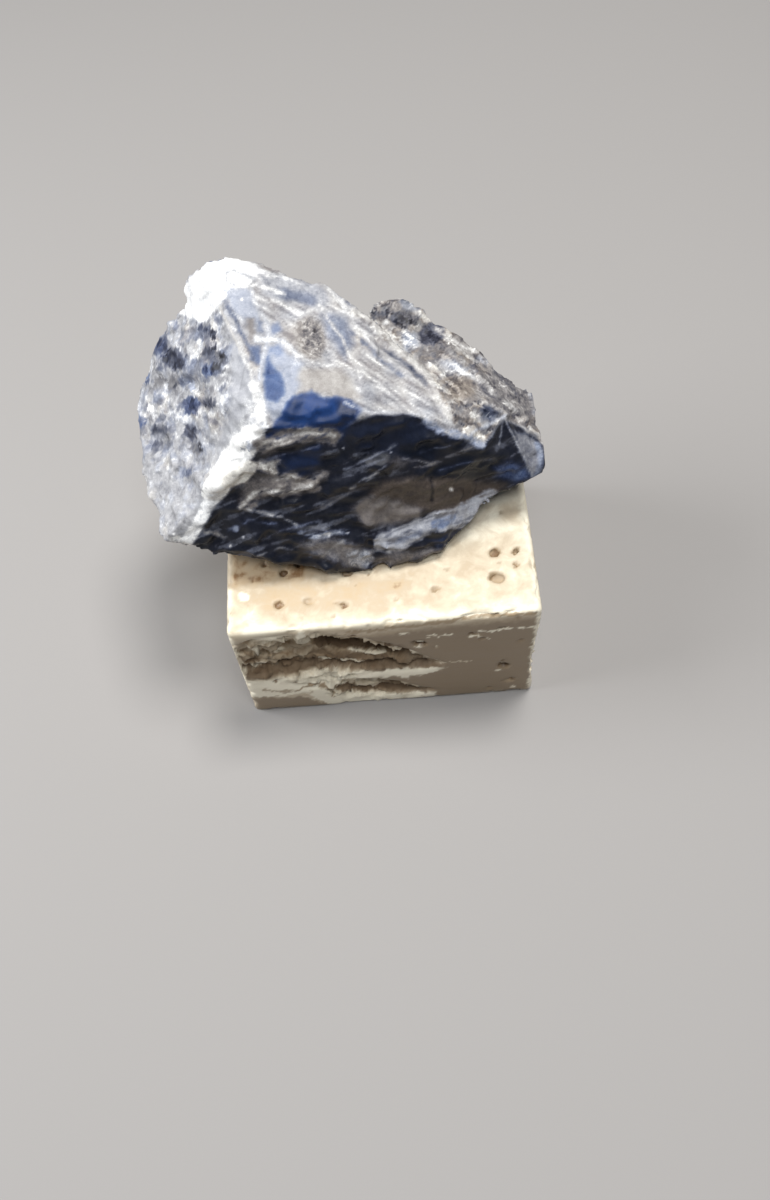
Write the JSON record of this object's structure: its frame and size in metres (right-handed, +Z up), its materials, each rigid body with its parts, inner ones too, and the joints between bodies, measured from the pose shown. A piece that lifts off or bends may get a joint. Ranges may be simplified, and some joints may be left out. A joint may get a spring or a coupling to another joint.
{
  "type": "rough mineral specimen on a stone block",
  "caption": "Rough chunk of blue and white sodalite with broken faces, resting on a small cut block of cream travertine.",
  "frame": {"origin": "middle of the block's flat underside", "axes": "+Z up, -Y towards the side with the broken face, +X to the right seen from that side"},
  "size_m": [0.0644, 0.0478, 0.0675],
  "materials": {
    "sodalite": "rough broken stone, glassy on fresh faces, navy blue with white veins",
    "travertine": "honed cream top with open pores, sawn sides, one side broken"
  },
  "bodies": {
    "root": {"sodalite": "sodalite", "travertine_block": "travertine"}
  },
  "joints": []
}
